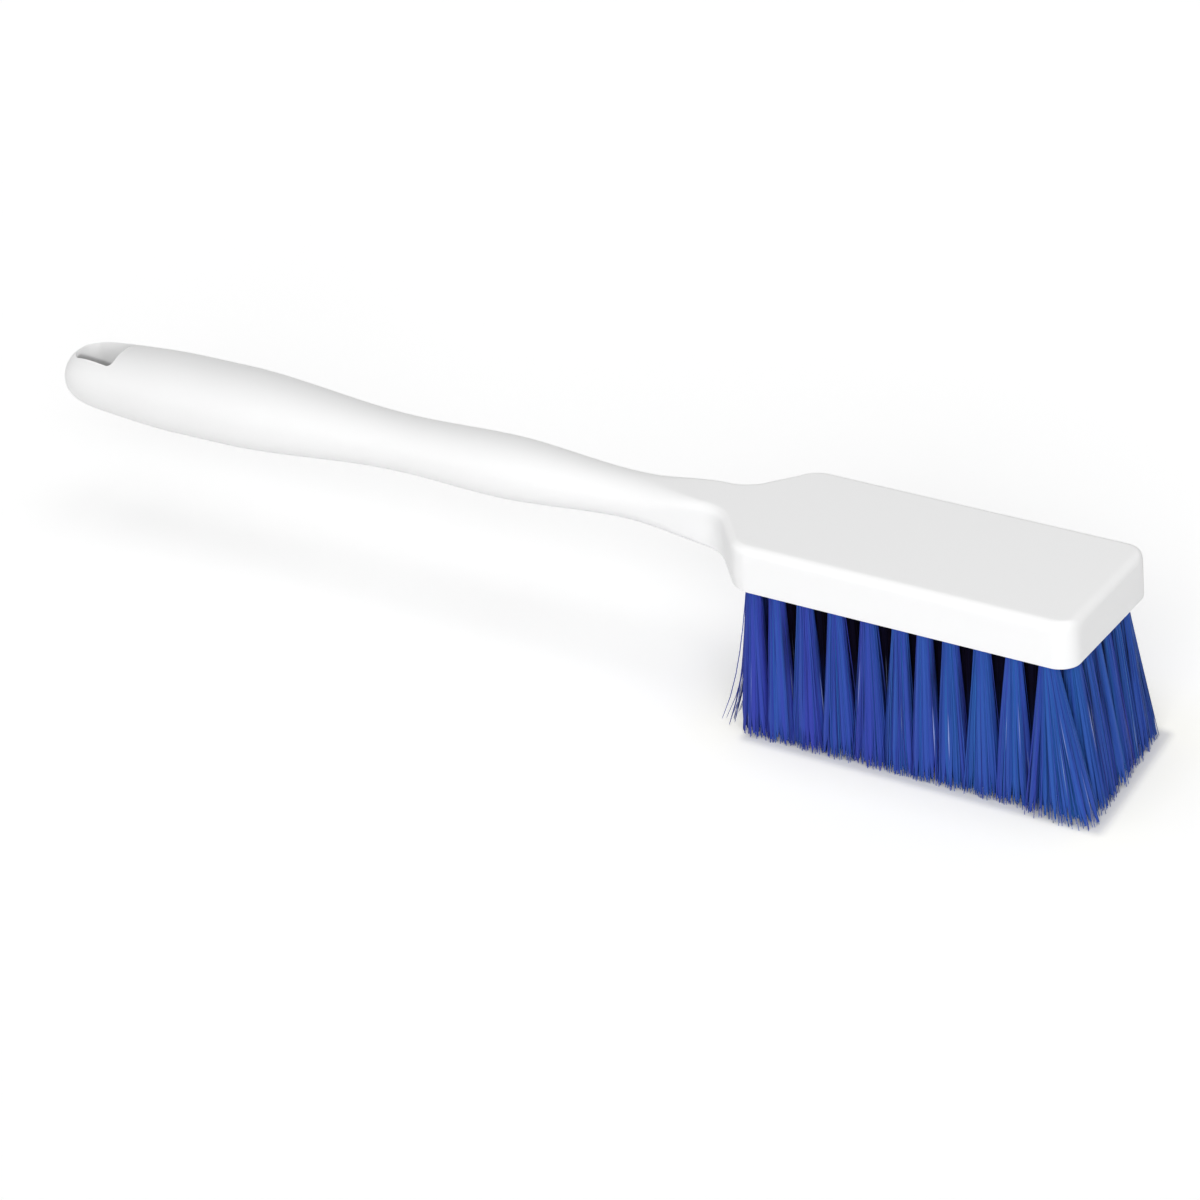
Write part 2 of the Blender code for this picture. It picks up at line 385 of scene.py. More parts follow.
def slant_at(x):
    """How much wider the slant of the shoulders makes an edge, measured across the moulding."""
    into_hollow = (x - hollow_x + hollow_reach) / shoulder_hollow_radius
    before_end = (shoulder_x + corner_reach - x) / shoulder_corner_radius
    sine = max(min(into_hollow, before_end, math.sin(shoulder_angle)), 0.0)
    return 1 / math.sqrt(1 - sine ** 2)


def section_at(x):
    """One ring of points round the moulding at x: four corners, each a quarter ellipse."""
    cap = tip_cap_at(x)
    half_width = half_width_at(x) * cap
    half_thick = thickness_at(x) / 2 * cap
    droop = handle_droop * max(root_x - x, 0.0) / (root_x - tip_x)
    middle = axis_height - droop
    top = middle + half_thick - end_drop(x, top_edge_radius)
    bottom = middle - half_thick + end_drop(x, bottom_edge_radius)

    def corner(start, stop, radius):
        flatness = ease((x - (shoulder_x - start)) / (start - stop))
        across = mix(handle_roundness * half_width, radius * slant_at(x), flatness)
        up = mix(handle_roundness * half_thick, radius, flatness)
        return min(across, half_width), min(up, handle_roundness * (top - bottom) / 2)

    top_across, top_up = corner(flat_top_start, flat_top_end, top_edge_radius)
    low_across, low_up = corner(flat_bottom_start, flat_bottom_end, bottom_edge_radius)
    points = []
    for side, level, step_from in ((1, 1, 0), (-1, 1, 1), (-1, -1, 0), (1, -1, 1)):
        across, up = (top_across, top_up) if level > 0 else (low_across, low_up)
        edge = top if level > 0 else bottom
        for step in range(corner_steps + 1):
            sweep = (1 - 2 * step_from) * step * math.pi / 2 / corner_steps
            turn = step_from * math.pi / 2 + sweep
            y = side * (half_width - across + across * math.cos(turn))
            z = edge - level * (up - up * math.sin(turn))
            points.append(Vector((x, y, z)))
    return points


def evenly(start, stop, count):
    """Evenly spaced places from start, up to the last one before stop."""
    return [mix(start, stop, step / count) for step in range(count)]


def ring_places():
    """Where the rings of the moulding stand: closer at the tip, the shoulders and the free end."""
    places = []
    for step in range(1, cap_rings + 1):
        turn = math.pi / 2 * (step / (cap_rings + 1)) ** cap_ring_power
        places.append(tip_x + tip_cap_length * (1 - math.cos(turn)))
    flare_start = hollow_x - hollow_reach
    flare_stop = shoulder_x + corner_reach
    places += evenly(tip_x + tip_cap_length, flare_start, handle_rings)
    places += evenly(flare_start, flare_stop, shoulder_rings)
    places += evenly(flare_stop, head_end - end_corner_radius, block_rings)
    for step in range(end_rings + 1):
        turn = math.pi / 2 * step / end_rings
        places.append(head_end - end_corner_radius * (1 - math.sin(turn)))
    return places


def mesh_from(name, form):
    """A mesh from a bmesh, with its faces turned outwards."""
    bmesh.ops.recalc_face_normals(form, faces=form.faces)
    mesh = bpy.data.meshes.new(name)
    form.to_mesh(mesh)
    form.free()
    return mesh


def loft_mesh(name, rings):
    form = bmesh.new()
    loops = [[form.verts.new(point) for point in ring] for ring in rings]
    for loop, next_loop in zip(loops, loops[1:]):
        for i in range(len(loop)):
            j = (i + 1) % len(loop)
            form.faces.new((loop[i], loop[j], next_loop[j], next_loop[i]))
    form.faces.new(loops[0])
    form.faces.new(loops[-1])
    return mesh_from(name, form)


def new_object(name, mesh, place=(0, 0, 0)):
    thing = bpy.data.objects.new(name, mesh)
    thing.location = place
    bpy.context.scene.collection.objects.link(thing)
    return thing


def hole_place(row, column):
    """Middle of a tuft's hole. The outermost rows stop short of the rounded corners."""
    setback = corner_setback if row in (0, tuft_rows - 1) else 0.0
    start = shoulder_x + rear_inset
    stop = head_end - end_inset - setback
    y = (row - (tuft_rows - 1) / 2) * row_pitch
    return Vector((mix(start, stop, column_shares[column]), y))


def tip_cell(row, column):
    """The middle and half the size of the patch of floor that a tuft's tips cover."""
    end = head_end + mix(end_overhang_front, end_overhang_back, row / (tuft_rows - 1))
    middles = [hole_place(row, other).x + tip_lean for other in range(len(column_shares))]
    between = [(first + second) / 2 for first, second in zip(middles, middles[1:])]
    edges = [-head_end] + between + [end]
    low = Vector((edges[column], mix(tips_front, tips_back, row / tuft_rows)))
    high = Vector((edges[column + 1], mix(tips_front, tips_back, (row + 1) / tuft_rows)))
    if row == 0 and column == len(column_shares) - 1:
        low.y -= corner_flare
    return (low + high) / 2, (high - low) / 2


def tips_sides():
    """The sides of the patch of floor under the tips, rear and end, then front and back: an
    outward normal, and how far out the side is."""
    across, along = tips_back - tips_front, end_overhang_front - end_overhang_back
    slant = Vector((across, along, 0)).normalized()
    end_point = Vector((head_end + end_overhang_front, tips_front, 0))
    return (((Vector((-1, 0, 0)), head_end - contact_rear_inset), (slant, slant.dot(end_point))),
            ((Vector((0, -1, 0)), -tips_front), (Vector((0, 1, 0)), tips_back)))


def hang_hole_mesh(name):
    """A cutter of the hang hole's outline, which narrows from the grip towards the tip."""
    centre = Vector((hang_hole_middle, 0, axis_height))
    height = grip_thickness + 2 * (handle_droop + cut_overrun)
    form = bmesh.new()
    bmesh.ops.create_cube(form, size=1)
    for vert in form.verts:
        width = hang_hole_tip_width if vert.co.x < 0 else hang_hole_grip_width
        vert.co = vert.co * Vector((hang_hole_length, width, height)) + centre
    for side, radius in ((-1, hang_hole_tip_radius), (1, hang_hole_grip_radius)):
        upright = []
        for edge in form.edges:
            above, below = (vert.co for vert in edge.verts)
            crosses = (above.z - centre.z) * (below.z - centre.z) < 0
            if crosses and (above.x - centre.x) * side > 0:
                upright.append(edge)
        bmesh.ops.bevel(form, geom=upright, offset=radius, segments=outline_steps,
                        profile=round_profile, affect="EDGES")
    sizes = Vector((hang_hole_length, hang_hole_grip_width, height))
    for axis, count in enumerate((hole_slices, hole_strips, hole_levels)):
        facing = Vector(index == axis for index in range(3))
        for step in range(1, count):
            point = centre + facing * sizes[axis] * (step / count - 0.5)
            bmesh.ops.bisect_plane(form, geom=form.verts[:] + form.edges[:] + form.faces[:],
                                   plane_co=point, plane_no=facing)
    return mesh_from(name, form)


def rim_heights(x, y):
    """Heights of the upper and lower surface of the handle at x, off its middle by y."""
    section = section_at(x)
    top, bottom = (pick(point.z for point in section) for pick in (max, min))
    off = min(abs(y) / max(point.y for point in section), 1.0)
    middle, reach = (top + bottom) / 2, (top - bottom) / 2 * math.sqrt(1 - off ** 2)
    return middle + reach, middle - reach


def add_painted_hole_shade(mesh):
    """Mark the hang hole's walls: 1 in the painted shade behind the near rim, and under 0
    elsewhere, which paints the walls paler than the plastic as painted light.
    """
    taper = (hang_hole_grip_width - hang_hole_tip_width) / hang_hole_length
    toward = Vector((math.sin(hole_shade_azimuth), -math.cos(hole_shade_azimuth)))
    layer = mesh.attributes.new("hole_painted_shade", "FLOAT", "POINT")
    for vert, value in zip(mesh.vertices, layer.data):
        x, y, z = vert.co
        half_width = (hang_hole_tip_width + taper * (x - hang_hole_start)) / 2
        past_side = abs(y) - half_width
        past_end = abs(x - hang_hole_middle) - hang_hole_length / 2
        if max(past_side, past_end) > wall_tolerance:
            continue
        run = max(half_width + y, 0.0) / (-toward.y - taper / 2 * toward.x)
        near_top, _ = rim_heights(x + toward.x * run, y + toward.y * run)
        shade_top = near_top + hole_shade_lift - run * math.tan(hole_shade_elevation)
        top, bottom = rim_heights(x, y)
        # Painted shade where the near rim hides the wall from this direction, below the lit rim
        # and fading in from the lower face
        deep = ease((shade_top - z) / hole_fade) * ease((top - z - hole_lit_rim) / hole_fade)
        deep *= ease((z - bottom) / (top - bottom) * hole_low_steepness)
        value.value = mix(-hole_painted_light, 1.0, deep)


def tuft_holes_mesh(name):
    form = bmesh.new()
    low, high = underside - cut_overrun, underside + hole_depth
    for row in range(tuft_rows):
        for column in range(len(column_shares)):
            place = hole_place(row, column)
            bmesh.ops.create_cone(form, cap_ends=True, segments=hole_sides, radius1=hole_radius,
                                  radius2=hole_radius, depth=high - low,
                                  matrix=Matrix.Translation((place.x, place.y, (low + high) / 2)))
    return mesh_from(name, form)


def applied(thing):
    """The mesh of a thing with its modifiers applied."""
    bpy.context.view_layer.update()
    evaluated = thing.evaluated_get(bpy.context.evaluated_depsgraph_get())
    mesh = bpy.data.meshes.new_from_object(evaluated)
    mesh.name = thing.name
    return mesh


def add_moulding(place, material):
    """The one-piece handle and block, with its tuft holes and its hang hole."""
    name = "handle_and_block_moulding"
    moulding = new_object(name, loft_mesh(name, [section_at(x) for x in ring_places()]), place)
    cutters = [new_object("tuft_holes", tuft_holes_mesh("tuft_holes"), place),
               new_object("hang_hole", hang_hole_mesh("hang_hole"), place)]
    for cutter in cutters:
        difference = moulding.modifiers.new("cut " + cutter.name, "BOOLEAN")
        difference.operation = "DIFFERENCE"
        difference.solver = "EXACT"
        difference.object = cutter
    mesh = applied(moulding)
    add_painted_hole_shade(mesh)
    moulding.modifiers.clear()
    moulding.data = mesh
    for cutter in cutters:
        bpy.data.objects.remove(cutter)
    mesh.shade_smooth()
    mesh.set_sharp_from_angle(angle=sharp_angle)
    weighted = moulding.modifiers.new("even shading", "WEIGHTED_NORMAL")
    weighted.keep_sharp = True
    weighted.weight = normal_weight
    mesh.materials.clear()
    mesh.materials.append(material)
    return moulding


def spread(rng, count, power):
    """Places over a disc of radius 1, evenly for a power of 0.5."""
    index = np.arange(count) + 0.5
    radius = (index / count) ** power
    turn = index * math.pi * (3 - math.sqrt(5)) + rng.uniform(0, 2 * math.pi)
    places = np.stack([radius * np.cos(turn), radius * np.sin(turn)], axis=1)
    return places + rng.normal(0, place_scatter, places.shape)


def to_square(places):
    """Points of a disc drawn out towards the corners of the square round it."""
    longest = np.abs(places).max(axis=1, keepdims=True)
    radius = np.linalg.norm(places, axis=1, keepdims=True)
    return places * mix(1.0, radius / np.maximum(longest, tiny), squaring)


def smooth_step(low, high, value):
    share = np.clip((value - low) / (high - low), 0, 1)
    return share * share * (3 - 2 * share)


def field_sides(points, share):
    """How far inside the four sides of the bristle field points lie: rear, end, front and back."""
    rear = mix(shoulder_x + rear_inset - hole_radius, -head_end, share)
    end = mix(head_end - end_inset + hole_radius, head_end + end_overhang_front, share)
    root_side = head_width / 2 - side_inset + hole_radius
    front = mix(root_side, -tips_front, share)
    back = mix(root_side, tips_back, share)
    x, y = points[..., 0], points[..., 1]
    return x - rear, end - x, y + front, back - y


def field_depth(points, share):
    """How far inside the bristle field points lie, whose two corners at the free end are cut."""
    rear, end, front, back = field_sides(points, share)
    cut = mix(corner_cut, 0.0, share)
    corners = [(end + side - cut) / math.sqrt(2) for side in (front, back)]
    return np.minimum.reduce([rear, end, front, back] + corners)


class Strands:
    """Strands of one tuft, gathered kind by kind into one mesh."""

    def __init__(self, middle_line, half_sizes, half_cell, neighbours):
        self.middle_line, self.half_sizes = middle_line, half_sizes
        self.half_cell, self.neighbours = half_cell, neighbours
        self.points, self.normals, self.faces, self.values = [], [], [], []
        self.count = 0

    def add(self, flat, height, radius, sides, roundness, tone, shade, pale, rng):
        """Strands along lines of places and heights, shaded partly as the tuft's round body, with
        painted shade deep in the field, between tufts and on sunken strands, and painted glints.
        """
        number, rings = height.shape
        phase = rng.uniform(0, 2 * math.pi, (number, 1, 1))
        turn = phase + 2 * math.pi * np.arange(sides)[None, None, :] / sides
        turn = np.broadcast_to(turn, (number, rings, sides))
        round_it = np.stack([np.cos(turn), np.sin(turn), np.zeros_like(turn)], axis=3)
        line = np.concatenate([flat, height[:, :, None]], axis=2)
        points = line[:, :, None, :] + round_it * radius[:, :, None, None]

        share = np.clip((underside - height) / underside, 0, 1)
        offset = flat - self.middle_line(share)
        outward = offset / self.half_sizes(share)
        outward = outward / np.maximum(np.linalg.norm(outward, axis=2, keepdims=True), 1.0)
        facing = [1 - smooth_step(0, lit_depth, side) for side in field_sides(flat, share)]
        rear, end, front, back = facing
        flat_side = np.stack([end - rear, back - front - end_turn * end], axis=2)
        outward = mix(outward, flat_side, field_flatness)
        lift = np.full((number, rings, 1), body_lift)
        body = np.concatenate([outward, lift], axis=2)[:, :, None, :]
        normals = round_it * (1 - roundness) + body * roundness
        normals /= np.maximum(np.linalg.norm(normals, axis=3, keepdims=True), tiny)

        # Painted shade: dark deep in the field, in the gaps between tufts, and on sunken strands
        depth = field_depth(flat, share)
        dark = smooth_step(lit_depth, dark_depth, depth)
        dark = dark * (1 - smooth_step(dark_until, lit_from, share))
        beside = (self.neighbours[0] & (offset < 0)) | (self.neighbours[1] & (offset > 0))
        gap = (self.half_cell - np.abs(offset)) * gap_weights
        gap = np.where(beside, gap, far_from_gap).min(axis=2)
        shut = 1 - smooth_step(gap_width, gap_fade_width, gap)
        shut = shut * (1 - smooth_step(gap_until, gap_closed, share))
        dark = 1 - (1 - dark) * (1 - gap_darkness * shut) * (1 - shade)
        wall = []
        for ring in range(rings - 1):
            for side in range(sides):
                after = (side + 1) % sides
                wall.append((ring * sides + side, (ring + 1) * sides + side,
                             (ring + 1) * sides + after, ring * sides + after))
        wall.append(tuple(range(sides)))
        wall.append(tuple(rings * sides - 1 - side for side in range(sides)))
        for strand in range(number):
            start = self.count + strand * rings * sides
            self.faces += [tuple(start + corner for corner in face) for face in wall]
        self.count += number * rings * sides
        self.points.append(points.reshape(-1, 3))
        self.normals.append(normals.reshape(-1, 3))
        values = np.stack([tone, dark, pale], axis=2)
        self.values.append(np.repeat(values.reshape(-1, 3), sides, axis=0))

    def mesh(self, name):
        mesh = bpy.data.meshes.new(name)
        mesh.from_pydata(np.concatenate(self.points).tolist(), [], self.faces)
        mesh.shade_smooth()
        values = np.concatenate(self.values).astype(np.float32)
        for index, label in enumerate(("strand_tone", "strand_painted_shade", "strand_painted_glint")):
            layer = mesh.attributes.new(label, "FLOAT", "POINT")
            layer.data.foreach_set("value", np.ascontiguousarray(values[:, index]))
        mesh.normals_split_custom_set_from_vertices(np.concatenate(self.normals).tolist())
        return mesh


def tuft_mesh(name, row, column, rng):
    """One tuft, from inside its hole to its ragged tips."""
    centre, half_cell = (np.array(value) for value in tip_cell(row, column))
    hole = np.array(hole_place(row, column))
    last_column, last_row = len(column_shares) - 1, tuft_rows - 1
    at_end = column == last_column
    open_in_front = row == 0 or at_end and row in (1, last_row)
    open_behind = row == last_row or at_end and row in (0, last_row - 1)
    neighbours = (np.array((column > 0, not open_in_front)),
                  np.array((column < last_column, not open_behind)))

    def middle_line(share):
        return hole + (centre - hole) * share[:, :, None]

    def half_sizes(share):
        return mix(np.full(2, hole_radius), half_cell * tuft_overlap, share[:, :, None])

    strands = Strands(middle_line, half_sizes, half_cell, neighbours)

    def fan(packed, jitter):
        """Where strands packed like this in the hole would have their tips."""
        fanned = to_square(packed) + rng.normal(0, jitter, packed.shape) / half_cell
        reach = np.full(fanned.shape, tuft_overlap)
        for axis, place, final in ((0, column, last_column), (1, row, last_row)):
            if place == 0:
                reach[fanned[:, axis] < 0, axis] = 1
                fanned[:, axis] = np.maximum(fanned[:, axis], -1)
            if place == final:
                reach[fanned[:, axis] > 0, axis] = 1
                fanned[:, axis] = np.minimum(fanned[:, axis], 1)
        return centre + fanned * half_cell * reach

    def lines(packed, tip, pull, tip_height, steps, bow):
        """Lines of strands from the hole to their tips, and their heights, step by step."""
        number = len(packed)
        share = np.linspace(0, 1, steps + 1)[None, :, None]
        start = hole + packed * (hole_radius - filament_radius) * root_packing
        bend = rng.normal(middle_bend, bend_scatter, (number, 1, 1))
        along = (1 - bend) * share + bend * share ** 2
        flat = start[:, None, :] + (tip - start)[:, None, :] * along
        flat = flat + pull[:, None, :] * share ** 3 + bow[:, None, :] * share ** 3
        flat = flat + rng.normal(0, wander, (number, 1, 2)) * np.sin(math.pi * share)
        top = underside + root_depth
        return flat, top + (tip_height[:, None] - top) * share[:, :, 0]

    lock_packed = spread(rng, locks, lock_power)
    lock_tip = fan(lock_packed * np.maximum(lock_reach, 1 - lock_radius / half_cell), lock_jitter)
    lock_height = lock_end + rng.uniform(0, tip_unevenness, locks)
    still = np.zeros((locks, 2))
    flat, height = lines(lock_packed * lock_reach, lock_tip, still, lock_height, lock_steps, still)
    share = np.linspace(0, 1, lock_steps + 1)
    girth = mix(lock_root_radius, lock_radius, np.minimum(share / lock_full_from, 1))
    girth = girth * (1 - lock_point * smooth_step(lock_point_from, 1, share))
    girth = girth[None, :] * rng.uniform(*lock_girths, (locks, 1))
    streak = rng.uniform(0, 2 * math.pi)
    direction = rng.uniform(0, 2 * math.pi)
    across = np.array((math.cos(direction), math.sin(direction)))

    def toned(packed, rings, scatter):
        """A tone for each strand: broad streaks over the tuft, and each strand a little apart."""
        outer = np.minimum(np.linalg.norm(packed, axis=1), 1)
        broad = tone_middle - tone_rim_drop * outer ** 2
        broad = broad + streak_tone * np.sin(streak + streak_turn * (packed @ across))
        broad = broad + mix(tone_at_rear, tone_at_end, column_shares[column])
        single = broad + rng.normal(0, scatter, len(packed))
        fade = np.linspace(tone_at_root, tone_at_tip, rings)[None, :]
        return np.clip(single[:, None] + fade, 0, 1)

    plain = np.zeros((locks, lock_steps + 1))
    tone = toned(lock_packed, lock_steps + 1, lock_tone_scatter)
    strands.add(flat, height, girth, lock_sides, lock_roundness, tone, plain, plain, rng)

    packed = spread(rng, filaments, filament_power)
    own_tip = fan(packed, filament_jitter)
    near = np.linalg.norm(packed[:, None, :] - lock_packed[None, :, :], axis=2).argmin(axis=1)
    pull = (lock_tip[near] - own_tip) * gathering
    tip_height = np.maximum(lock_height[near] - rng.uniform(*filament_excess, filaments), 0)
    bow = np.zeros((filaments, 2))
    if column == 0:
        count, most = (splayed_strays, splayed_bow) if row < splayed_rows else (strays, stray_bow)
        loose = rng.choice(np.where(packed[:, 0] < stray_zone)[0], count, replace=False)
        bow[loose, 0] = -most * rng.uniform(*stray_bow_shares, count)
        tip_height[loose] += rng.uniform(*stray_lift, count)
    flat, height = lines(packed, own_tip, pull, tip_height, filament_steps, bow)
    radius = np.full((filaments, filament_steps + 1), filament_radius)
    radius[:, -1] *= filament_point
    # Painted glints: a pale ring on a few filaments
    pale = np.zeros((filaments, filament_steps + 1))
    glinting = rng.choice(filaments, glint_filaments, replace=False)
    paleness = rng.uniform(*glint_levels, glint_filaments)
    pale[glinting, rng.integers(*glint_rings, glint_filaments)] = paleness
    # Painted shade on a share of the filaments, as if sunk among the others
    hidden = rng.uniform(0, 1, (filaments, 1)) < sunken_share
    share = np.linspace(0, 1, filament_steps + 1)
    shade = hidden * sunken_shade * smooth_step(sunken_from, sunken_full_from, share)[None, :]
    tone = toned(packed, filament_steps + 1, filament_tone_scatter)
    strands.add(flat, height, radius, filament_sides, filament_roundness, tone, shade, pale, rng)
    return strands.mesh(name)


def node_material(name):
    material = bpy.data.materials.new(name)
    material.use_nodes = True
    nodes = material.node_tree.nodes
    return material, nodes, material.node_tree.links, nodes["Principled BSDF"]


def colour_mix(nodes):
    """A mix of two colours, and the sockets of its factor, of the two and of the result."""
    blend = nodes.new("ShaderNodeMix")
    blend.data_type = "RGBA"
    return (blend, *(blend.inputs[index] for index in (0, 6, 7)), blend.outputs[2])


def mapped(nodes, links, value, reach, low, high, kind="LINEAR"):
    """A value that goes from low to high where the given one goes from 0 to reach."""
    node = nodes.new("ShaderNodeMapRange")
    node.interpolation_type = kind
    for label, setting in (("From Max", reach), ("To Min", low), ("To Max", high)):
        node.inputs[label].default_value = setting
    links.new(value, node.inputs["Value"])
    return node.outputs["Result"]


def white_plastic():
    """Satin white polypropylene: a fine moulded grain, slightly uneven gloss, and painted shade
    and painted light on the hang hole's walls.
    """
    material, nodes, links, surface = node_material("satin_white_plastic")
    surface.inputs["Specular IOR Level"].default_value = plastic_specular
    # Painted shade and painted light on the hang hole's walls, mixed into the plastic's tone
    hollow = nodes.new("ShaderNodeAttribute")
    hollow.attribute_name = "hole_painted_shade"
    shade, factor, open_tone, painted_shade_tone, tone = colour_mix(nodes)
    shade.clamp_factor = False
    open_tone.default_value = plastic_tone
    painted_shade_tone.default_value = painted_hole_shade_tone
    links.new(hollow.outputs["Fac"], factor)
    links.new(tone, surface.inputs["Base Color"])
    place = nodes.new("ShaderNodeTexCoord").outputs["Object"]

    def noise(scale):
        texture = nodes.new("ShaderNodeTexNoise")
        texture.inputs["Scale"].default_value = scale
        texture.inputs["Detail"].default_value = noise_detail
        links.new(place, texture.inputs["Vector"])
        return texture.outputs["Fac"]

    gloss = mapped(nodes, links, noise(cloud_scale), 1, *plastic_roughness)
    links.new(gloss, surface.inputs["Roughness"])
    bump = nodes.new("ShaderNodeBump")
    bump.inputs["Strength"].default_value = grain_strength
    bump.inputs["Distance"].default_value = grain_depth
    links.new(noise(grain_scale), bump.inputs["Height"])
    links.new(bump.outputs["Normal"], surface.inputs["Normal"])
    return material


def blue_filament():
    """Royal blue filament: streaks of tone, painted glints, and painted shade deep in the field
    and between the tufts.
    """
    material, nodes, links, surface = node_material("royal_blue_filament")
    surface.inputs["Specular IOR Level"].default_value = filament_specular

    def strand_value(label):
        value = nodes.new("ShaderNodeAttribute")
        value.attribute_name = label
        return value.outputs["Fac"]

    ramp = nodes.new("ShaderNodeValToRGB")
    for stop, tone in zip(ramp.color_ramp.elements, filament_tones):
        stop.color = tone
    links.new(strand_value("strand_tone"), ramp.inputs["Fac"])
    colour = ramp.outputs["Color"]
    # Painted shade deep in the field, then painted glints, mixed into the colour
    for label, tint in (("strand_painted_shade", painted_shade_tint), ("strand_painted_glint", painted_glint_tint)):
        _, factor, first, second, mixed = colour_mix(nodes)
        links.new(strand_value(label), factor)
        links.new(colour, first)
        second.default_value = tint
        colour = mixed
    links.new(colour, surface.inputs["Base Color"])
    dullness = mapped(nodes, links, strand_value("strand_painted_shade"), 1, *filament_roughness)
    links.new(dullness, surface.inputs["Roughness"])
    return material


def add_camera(place):
    """A camera that puts the floor point under the head at its pixel of the picture."""
    azimuth, elevation, roll = view_azimuth, view_elevation, view_roll
    aside = math.cos(elevation)
    back = Vector((math.sin(azimuth) * aside, -math.cos(azimuth) * aside, math.sin(elevation)))
    level = Vector((math.cos(azimuth), math.sin(azimuth), 0))
    upright = back.cross(level)
    right = math.cos(roll) * level + math.sin(roll) * upright
    up = math.cos(roll) * upright - math.sin(roll) * level
    axes = Matrix((right, up, back)).transposed()
    across = (head_pixel[0] - picture_size / 2) / focal_pixels
    down = (head_pixel[1] - picture_size / 2) / focal_pixels
    seen = Vector((across, -down, -1)).normalized()
    turn = Vector((0, 0, -1)).rotation_difference(seen).to_matrix()
    data = bpy.data.cameras.new("camera")
    data.sensor_width = sensor_width
    data.lens = focal_pixels / picture_size * sensor_width
    camera = bpy.data.objects.new("camera", data)
    stand = Matrix.Translation(Vector(place) + back * view_distance)
    camera.matrix_world = stand @ (axes @ turn.transposed()).to_4x4()
    bpy.context.scene.collection.objects.link(camera)
    bpy.context.scene.camera = camera


def add_lamp(name, direction, distance, side, power, target):
    """A soft square lamp that shines on the target from this direction."""
    data = bpy.data.lights.new(name, "AREA")
    data.shape = "SQUARE"
    data.size = side
    data.energy = power
    lamp = bpy.data.objects.new(name, data)
    heading = Vector(direction).normalized()
    lamp.location = Vector(target) + heading * distance
    lamp.rotation_euler = heading.to_track_quat("Z", "Y").to_euler()
    bpy.context.scene.collection.objects.link(lamp)


def seen_rays(nodes, links):
    """1 for rays that show a thing, straight or in gloss or glass, 0 for rays that light one."""
    rays = nodes.new("ShaderNodeLightPath")
    seen = rays.outputs["Is Camera Ray"]
    for label in ("Is Glossy Ray", "Is Transmission Ray"):
        either = nodes.new("ShaderNodeMath")
        either.operation = "MAXIMUM"
        links.new(seen, either.inputs[0])
        links.new(rays.outputs[label], either.inputs[1])
        seen = either.outputs["Value"]
    return seen


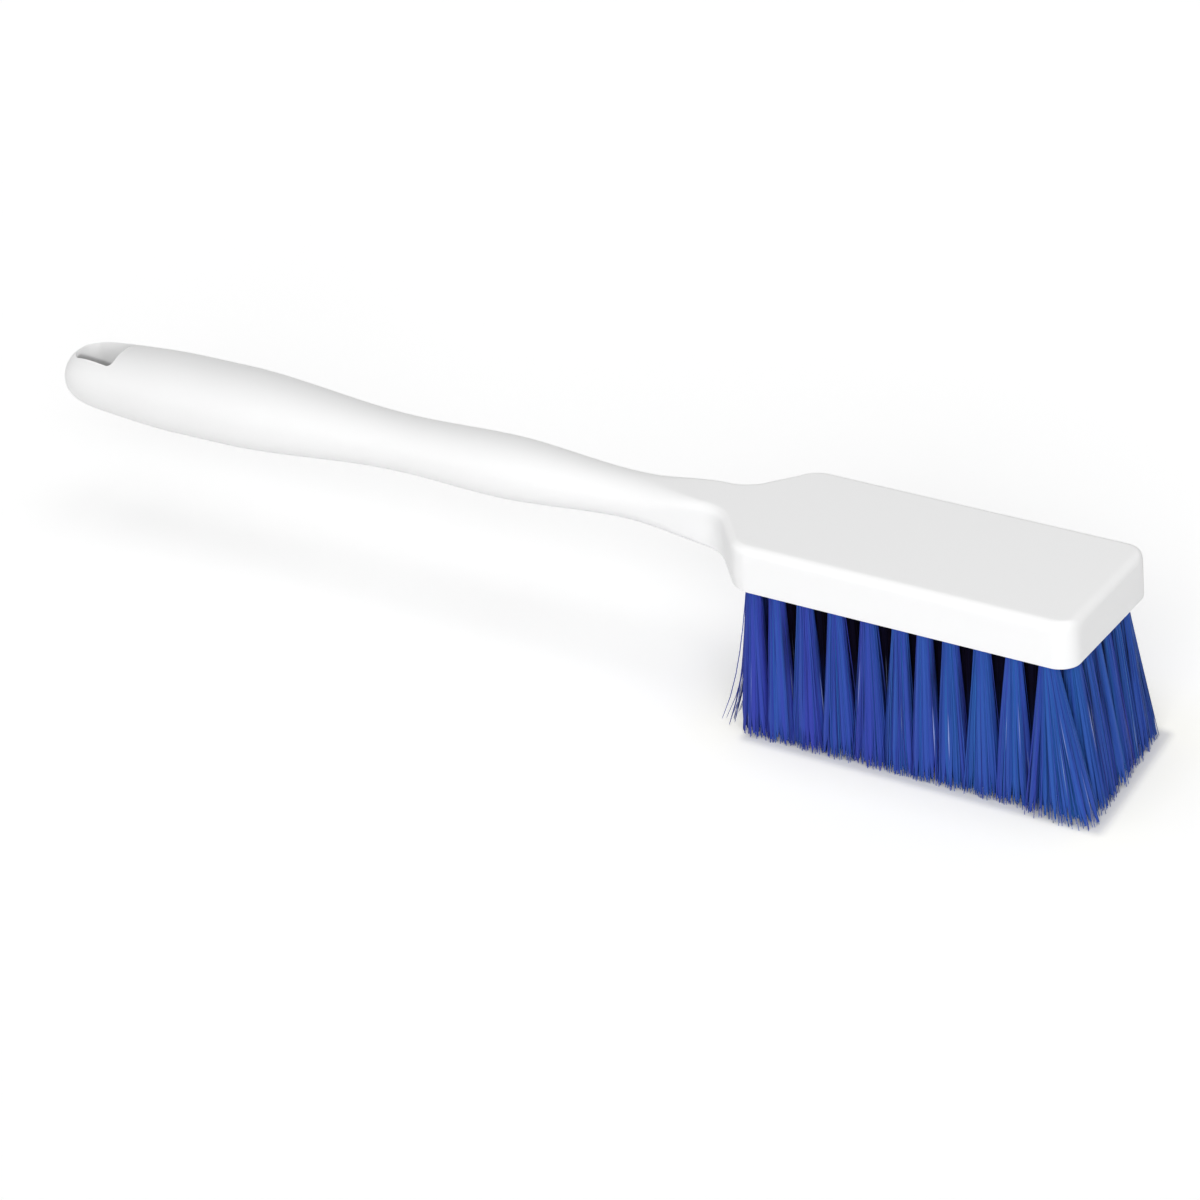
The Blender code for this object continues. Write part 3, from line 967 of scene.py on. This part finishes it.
def add_floor():
    """A pale floor that the camera sees as white where nothing shades it, with a painted contact
    shadow along the bristles and a painted warm tint near them.
    """
    form = bmesh.new()
    bmesh.ops.create_grid(form, x_segments=1, y_segments=1, size=floor_half_size)
    floor = new_object("floor", mesh_from("floor", form))
    material, nodes, links, surface = node_material("pale_floor")
    surface.inputs["Base Color"].default_value = floor_tone
    surface.inputs["Roughness"].default_value = floor_roughness
    surface.inputs["Specular IOR Level"].default_value = 0
    glow = nodes.new("ShaderNodeEmission")
    ground = nodes.new("ShaderNodeTexCoord").outputs["Object"]

    def worked(kind, operation, *values, output=0):
        """The result of one sum on numbers or vectors."""
        node = nodes.new(kind)
        node.operation = operation
        for socket, value in zip(node.inputs, values):
            if isinstance(value, bpy.types.NodeSocket):
                links.new(value, socket)
            else:
                socket.default_value = value
        return node.outputs[output]

    away = worked("ShaderNodeVectorMath", "DISTANCE", ground, glow_middle, output="Value")
    level = worked("ShaderNodeMath", "MULTIPLY_ADD", away, glow_rise, glow_near)
    beyond = nodes.new("ShaderNodeCombineXYZ")
    for axis, sides in enumerate(tips_sides()):
        reaches = []
        for normal, limit in sides:
            along = worked("ShaderNodeVectorMath", "DOT_PRODUCT", ground, normal, output="Value")
            reaches.append(worked("ShaderNodeMath", "SUBTRACT", along, limit + normal.x * head_x))
        links.new(worked("ShaderNodeMath", "MAXIMUM", *reaches), beyond.inputs[axis])
    outside = worked("ShaderNodeVectorMath", "MAXIMUM", beyond.outputs["Vector"], (0, 0, 0))
    reach = worked("ShaderNodeVectorMath", "LENGTH", outside, output="Value")
    # A painted contact shadow: less glow along the rim of the bristles
    painted_contact_shadow = mapped(nodes, links, reach, contact_reach, contact_share, 1, "SMOOTHSTEP")
    strength = worked("ShaderNodeMath", "MULTIPLY", level, painted_contact_shadow)
    links.new(strength, glow.inputs["Strength"])
    # A painted warm tint near the bristles, against the blue light they bounce
    _, factor, far_tint, near_tint, warmth = colour_mix(nodes)
    far_tint.default_value = white
    near_tint.default_value = warmth_tint
    links.new(mapped(nodes, links, reach, warmth_reach, 1, 0, "SMOOTHSTEP"), factor)
    links.new(warmth, glow.inputs["Color"])
    both = nodes.new("ShaderNodeAddShader")
    links.new(surface.outputs["BSDF"], both.inputs[0])
    links.new(glow.outputs["Emission"], both.inputs[1])
    choice = nodes.new("ShaderNodeMixShader")
    links.new(seen_rays(nodes, links), choice.inputs["Fac"])
    links.new(surface.outputs["BSDF"], choice.inputs[1])
    links.new(both.outputs["Shader"], choice.inputs[2])
    links.new(choice.outputs["Shader"], nodes["Material Output"].inputs["Surface"])
    floor.data.materials.append(material)


def add_world():
    """An even grey sky that the camera sees as white."""
    world = bpy.data.worlds.new("studio")
    bpy.context.scene.world = world
    world.use_nodes = True
    nodes, links = world.node_tree.nodes, world.node_tree.links
    sky = nodes["Background"]
    sky.inputs["Color"].default_value = white
    sky.inputs["Strength"].default_value = sky_strength
    backdrop = nodes.new("ShaderNodeBackground")
    backdrop.inputs["Color"].default_value = white
    backdrop.inputs["Strength"].default_value = 1
    choice = nodes.new("ShaderNodeMixShader")
    links.new(seen_rays(nodes, links), choice.inputs["Fac"])
    links.new(sky.outputs["Background"], choice.inputs[1])
    links.new(backdrop.outputs["Background"], choice.inputs[2])
    links.new(choice.outputs["Shader"], nodes["World Output"].inputs["Surface"])


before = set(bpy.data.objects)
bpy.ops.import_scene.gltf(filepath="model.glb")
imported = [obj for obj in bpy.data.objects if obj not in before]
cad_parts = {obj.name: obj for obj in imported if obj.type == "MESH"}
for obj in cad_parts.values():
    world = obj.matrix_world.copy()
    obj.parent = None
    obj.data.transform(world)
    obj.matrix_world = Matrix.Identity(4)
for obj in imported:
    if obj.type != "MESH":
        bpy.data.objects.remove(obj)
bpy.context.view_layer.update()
head_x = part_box("handle_and_block")[1].x - head_end
place = (head_x, 0, 0)

plastic = white_plastic()
moulding = add_moulding(place, plastic)
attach(moulding, "root")
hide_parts("handle_and_block")

filament = blue_filament()
rng = np.random.default_rng(seed)
for row in range(tuft_rows):
    for column in range(len(column_shares)):
        letter = chr(ord("A") + row // 2)
        name = f"tuft_row{row + 1}_column{column + 1:02d}"
        tuft = new_object(name, tuft_mesh(name, row, column, rng), place)
        tuft.data.materials.append(filament)
        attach(tuft, "root")
        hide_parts(f"tuft_pair_{letter}{column + 1:02d}")

add_camera(place)
add_floor()
add_world()
for name, values in lamps.items():
    add_lamp(name, *values)

bpy.context.scene.view_settings.view_transform = "Standard"
